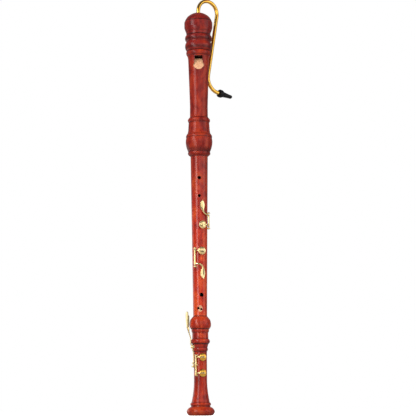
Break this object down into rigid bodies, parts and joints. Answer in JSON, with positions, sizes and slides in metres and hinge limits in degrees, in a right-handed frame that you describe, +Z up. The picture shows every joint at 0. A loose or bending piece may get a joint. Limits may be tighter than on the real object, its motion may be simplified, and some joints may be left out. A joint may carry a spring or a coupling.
{
  "type": "bass recorder",
  "caption": "Wooden bass recorder standing on its foot, with separable joints, turning bent crook with mouthpiece, and sprung brass keys.",
  "frame": {"origin": "centre of the foot joint's bore at its base, on the plane the foot stands on", "axes": "+Z up the bore towards the cap, -Y out of the window and finger holes, +X to the right seen from the front"},
  "size_m": [0.1138, 0.0969, 0.9814],
  "materials": {
    "stained_wood": "gloss",
    "block_wood": "matt",
    "cork": "matt",
    "key_brass": "polished",
    "crook_brass": "polished",
    "steel": "satin",
    "pad_leather": "matt",
    "black_plastic": "gloss"
  },
  "bodies": {
    "foot": {"foot_joint": "stained_wood", "foot_key_posts": "key_brass", "foot_key_rod": "steel", "foot_key_springs": "steel", "lever_saddles": "key_brass", "lever_pins": "steel"},
    "low_f_sharp_key": {"low_f_sharp_key_cup": "key_brass", "low_f_sharp_key_pad": "pad_leather", "low_f_sharp_key_lever": "key_brass"},
    "low_f_key": {"low_f_key_cup": "key_brass", "low_f_key_pad": "pad_leather", "low_f_key_lever": "key_brass"},
    "low_f_sharp_lever": {"low_f_sharp_lever_bar": "key_brass", "low_f_sharp_touch": "key_brass"},
    "low_f_lever": {"low_f_lever_bar": "key_brass", "low_f_touch": "key_brass"},
    "middle": {"middle_joint": "stained_wood", "lower_tenon_cork": "cork", "upper_tenon_cork": "cork", "ring_key_posts": "key_brass", "ring_key_rod": "steel", "ring_key_spring": "steel", "index_key_posts": "key_brass", "index_key_rod": "steel", "index_key_spring": "steel", "thumb_rest": "key_brass", "thumb_rest_screws": "steel"},
    "ring_key": {"ring_key_cup": "key_brass", "ring_key_pad": "pad_leather", "ring_key_lever": "key_brass", "ring_key_touch": "key_brass"},
    "index_key": {"index_key_cup": "key_brass", "index_key_pad": "pad_leather", "index_key_lever": "key_brass", "index_key_touch": "key_brass"},
    "head": {"head_joint": "stained_wood", "fipple_block": "block_wood", "head_tenon_cork": "cork"},
    "cap": {"head_cap": "stained_wood"},
    "crook": {"crook_tube": "crook_brass", "crook_cork": "cork", "blow_cork": "cork"},
    "mouthpiece": {"mouthpiece": "black_plastic"}
  },
  "joints": [
    {"name": "middle_pull", "type": "slide", "parent": "foot", "child": "middle", "axis": [0, 0, 1], "range_m": [0, 0.033]},
    {"name": "head_pull", "type": "slide", "parent": "middle", "child": "head", "axis": [0, 0, 1], "range_m": [0, 0.033]},
    {"name": "cap_pull", "type": "slide", "parent": "head", "child": "cap", "axis": [0, 0, 1], "range_m": [0, 0.006]},
    {"name": "crook_turn", "type": "hinge", "parent": "cap", "child": "crook", "pos_m": [0, 0, 0.94], "axis": [0, 0, 1], "continuous": true},
    {"name": "mouthpiece_pull", "type": "slide", "parent": "crook", "child": "mouthpiece", "axis": [0.78, 0.6094, -0.1426], "range_m": [0, 0.012]},
    {"name": "ring_key_press", "type": "hinge", "parent": "middle", "child": "ring_key", "pos_m": [0.02106, -0.00525, 0.447], "axis": [0, 0, -1], "range_deg": [0, 9], "stiffness_Nm_per_rad": 0.02, "springref_deg": -14.32},
    {"name": "index_key_press", "type": "hinge", "parent": "middle", "child": "index_key", "pos_m": [-0.01129, -0.01806, 0.361], "axis": [0, 0, 1], "range_deg": [0, 9], "stiffness_Nm_per_rad": 0.02, "springref_deg": -14.32},
    {"name": "low_f_sharp_press", "type": "hinge", "parent": "foot", "child": "low_f_sharp_lever", "pos_m": [-0.01854, -0.00826, 0.1565], "axis": [-0.4067, 0.9135, 0], "range_deg": [0, 2], "stiffness_Nm_per_rad": 0.05, "springref_deg": -5.73},
    {"name": "low_f_press", "type": "hinge", "parent": "foot", "child": "low_f_lever", "pos_m": [-0.01882, 0.0076, 0.1565], "axis": [0.3746, 0.9272, 0], "range_deg": [0, 3], "stiffness_Nm_per_rad": 0.05, "springref_deg": -5.73},
    {"name": "low_f_sharp_shut", "type": "hinge", "parent": "foot", "child": "low_f_sharp_key", "pos_m": [-0.01028, -0.01645, 0.126], "axis": [0, 0, 1], "range_deg": [0, 7], "stiffness_Nm_per_rad": 0.01, "springref_deg": -11.46},
    {"name": "low_f_shut", "type": "hinge", "parent": "foot", "child": "low_f_key", "pos_m": [-0.01028, -0.01645, 0.104], "axis": [0, 0, 1], "range_deg": [0, 7], "stiffness_Nm_per_rad": 0.01, "springref_deg": -11.46}
  ],
  "couplings": [
    {"joint": "low_f_sharp_shut", "follows": "low_f_sharp_press", "ratio": 3.5},
    {"joint": "low_f_shut", "follows": "low_f_press", "ratio": 2.3333}
  ]
}
